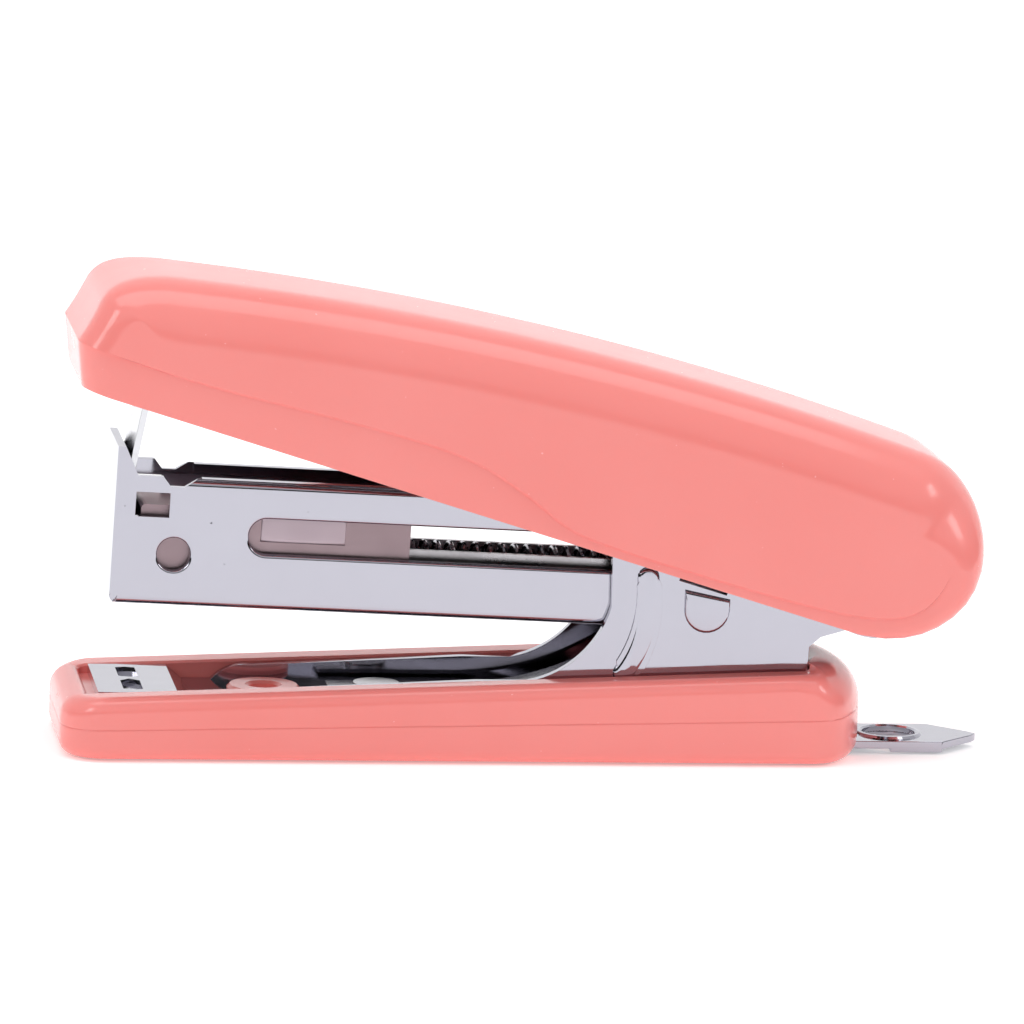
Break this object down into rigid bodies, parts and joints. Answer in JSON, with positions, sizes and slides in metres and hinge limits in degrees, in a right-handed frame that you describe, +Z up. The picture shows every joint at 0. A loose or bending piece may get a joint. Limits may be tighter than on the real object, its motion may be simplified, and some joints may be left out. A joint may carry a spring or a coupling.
{
  "type": "stapler",
  "caption": "Compact hand stapler with a hinged plastic lid, sprung steel magazine and driver, steel base frame with anvil, and a rear staple remover.",
  "frame": {"origin": "middle of the bounding box in X and Y, on the base's bottom plane", "axes": "+X from the staple end to the remover at the rear, +Y across, +Z up"},
  "size_m": [0.0964, 0.024, 0.0493],
  "materials": {
    "pink_plastic": "glossy moulded plastic, salmon pink",
    "bright_chrome": "bright plated sheet steel",
    "plain_steel": "plated, duller inside",
    "spring_steel": "bright spring wire and strip",
    "rivet_steel": "satin headed rivets",
    "pusher_steel": "plain warm grey sheet",
    "driver_steel": "ground blade with a sheared edge"
  },
  "bodies": {
    "base": {"base_cover": "pink_plastic", "base_frame": "bright_chrome", "staple_remover": "bright_chrome", "remover_rivet": "rivet_steel", "magazine_lift_spring": "spring_steel", "lift_spring_rivet": "rivet_steel", "hinge_pin": "rivet_steel"},
    "magazine": {"magazine_channel": "bright_chrome", "staple_rail": "plain_steel", "rail_rivets": "rivet_steel", "spring_rod": "spring_steel", "pusher_spring": "spring_steel", "rear_spring_stop": "plain_steel", "hinge_bush": "plain_steel", "handle_return_spring": "spring_steel"},
    "pusher": {"pusher": "pusher_steel"},
    "handle": {"handle_cover": "pink_plastic", "handle_frame": "plain_steel", "driver_blade": "driver_steel", "driver_rivets": "rivet_steel"}
  },
  "joints": [
    {"name": "magazine_pivot", "type": "hinge", "parent": "base", "child": "magazine", "pos_m": [0.0367, 0, 0.0215], "axis": [0, 1, 0], "range_deg": [-6.2, 0], "stiffness_Nm_per_rad": 0.3, "springref_deg": 11.46, "deforming": ["magazine_lift_spring"]},
    {"name": "handle_pivot", "type": "hinge", "parent": "magazine", "child": "handle", "pos_m": [0.0367, 0, 0.0215], "axis": [0, 1, 0], "range_deg": [-8.8, 90], "stiffness_Nm_per_rad": 0.15, "springref_deg": 4.76, "deforming": ["handle_return_spring"]},
    {"name": "pusher_slide", "type": "slide", "parent": "magazine", "child": "pusher", "axis": [0.9993, 0, -0.0366], "range_m": [0, 0.025], "stiffness_N_per_m": 30, "springref_m": -0.02, "deforming": ["pusher_spring"]}
  ]
}
